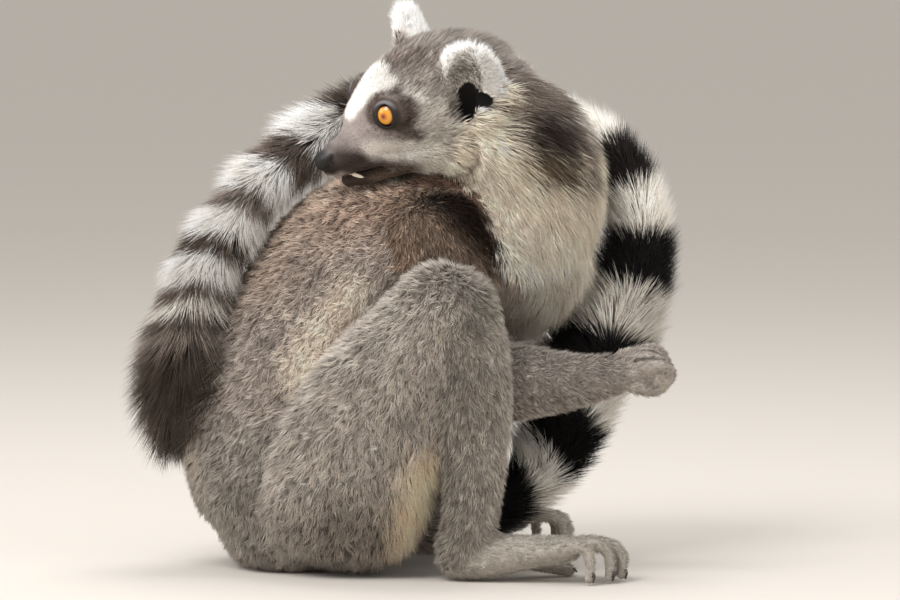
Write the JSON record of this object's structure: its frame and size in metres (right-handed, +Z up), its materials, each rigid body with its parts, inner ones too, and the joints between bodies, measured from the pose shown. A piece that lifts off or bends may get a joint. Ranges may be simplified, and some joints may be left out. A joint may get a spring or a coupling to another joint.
{
  "type": "ring-tailed lemur",
  "caption": "Life-size still model of a ring-tailed lemur sitting hunched on its rump, head turned back over one shoulder, one fist held out, banded tail wrapped round the body.",
  "frame": {"origin": "centre of the footprint of the whole model, at the level of the floor it sits on", "axes": "+X is the way the trunk and feet face, +Y is the animal's left, +Z is up; the head looks back towards -X"},
  "size_m": [0.2768, 0.1932, 0.2858],
  "materials": {
    "body_fur": "dense grey-brown woolly coat, matt",
    "pale_grey_fur": "short pale grey coat, matt",
    "white_fur": "long white coat of the face, ears, throat and chest, matt",
    "tail_fur": "long soft coat in black and white rings, matt",
    "bare_skin": "bare blackish skin of the nose, lips, palms and soles, finely pebbled",
    "eye": "wet amber eye with a small dark pupil",
    "tooth": "pale ivory enamel",
    "nail": "dark horn"
  },
  "bodies": {
    "root": {"eye_left": "eye", "eye_right": "eye", "ear_left": "white_fur", "ear_right": "white_fur", "head": "pale_grey_fur", "tooth_comb": "tooth", "jaw": "white_fur", "neck": "white_fur", "trunk": "body_fur", "upper_arm_left": "body_fur", "upper_arm_right": "body_fur", "forearm_left": "pale_grey_fur", "forearm_right": "pale_grey_fur", "hand_left": "pale_grey_fur", "hand_right": "pale_grey_fur", "thigh_left": "body_fur", "thigh_right": "body_fur", "shin_left": "pale_grey_fur", "shin_right": "pale_grey_fur", "foot_left": "pale_grey_fur", "foot_right": "pale_grey_fur", "tail_1": "tail_fur", "tail_2": "tail_fur", "tail_3": "tail_fur", "tail_4": "tail_fur", "tail_5": "tail_fur", "tail_6": "tail_fur", "tail_7": "tail_fur", "tail_8": "tail_fur"}
  },
  "joints": []
}
